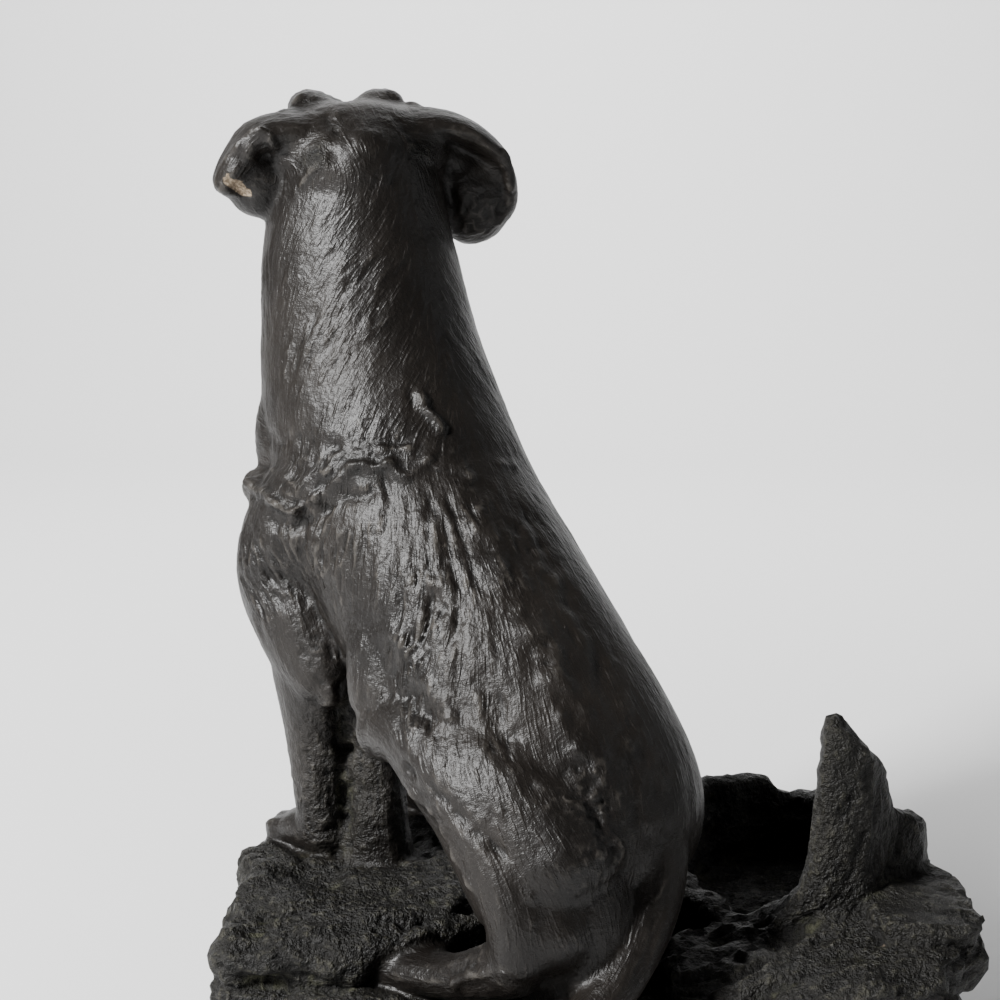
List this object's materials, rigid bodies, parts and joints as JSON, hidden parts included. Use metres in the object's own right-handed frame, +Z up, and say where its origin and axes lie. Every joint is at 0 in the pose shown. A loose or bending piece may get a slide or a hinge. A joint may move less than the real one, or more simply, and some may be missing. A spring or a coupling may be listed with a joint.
{
  "type": "labrador figurine",
  "caption": "Seated labrador cast in one piece with a rocky base and a hollow broken stump, in dark bronze-like patina.",
  "frame": {"origin": "middle of the bounding box at the level of the underside", "axes": "+Z up, X along the base's length, -Y the side the dog's head faces, +Y the side of the picture"},
  "size_m": [0.1702, 0.1458, 0.225],
  "materials": {
    "bronze_patina": "dark brown-black satin patina with a whitish sheen on the tooled ridges and dusty grey-green recesses"
  },
  "bodies": {
    "root": {"labrador_figurine": "bronze_patina"}
  },
  "joints": []
}
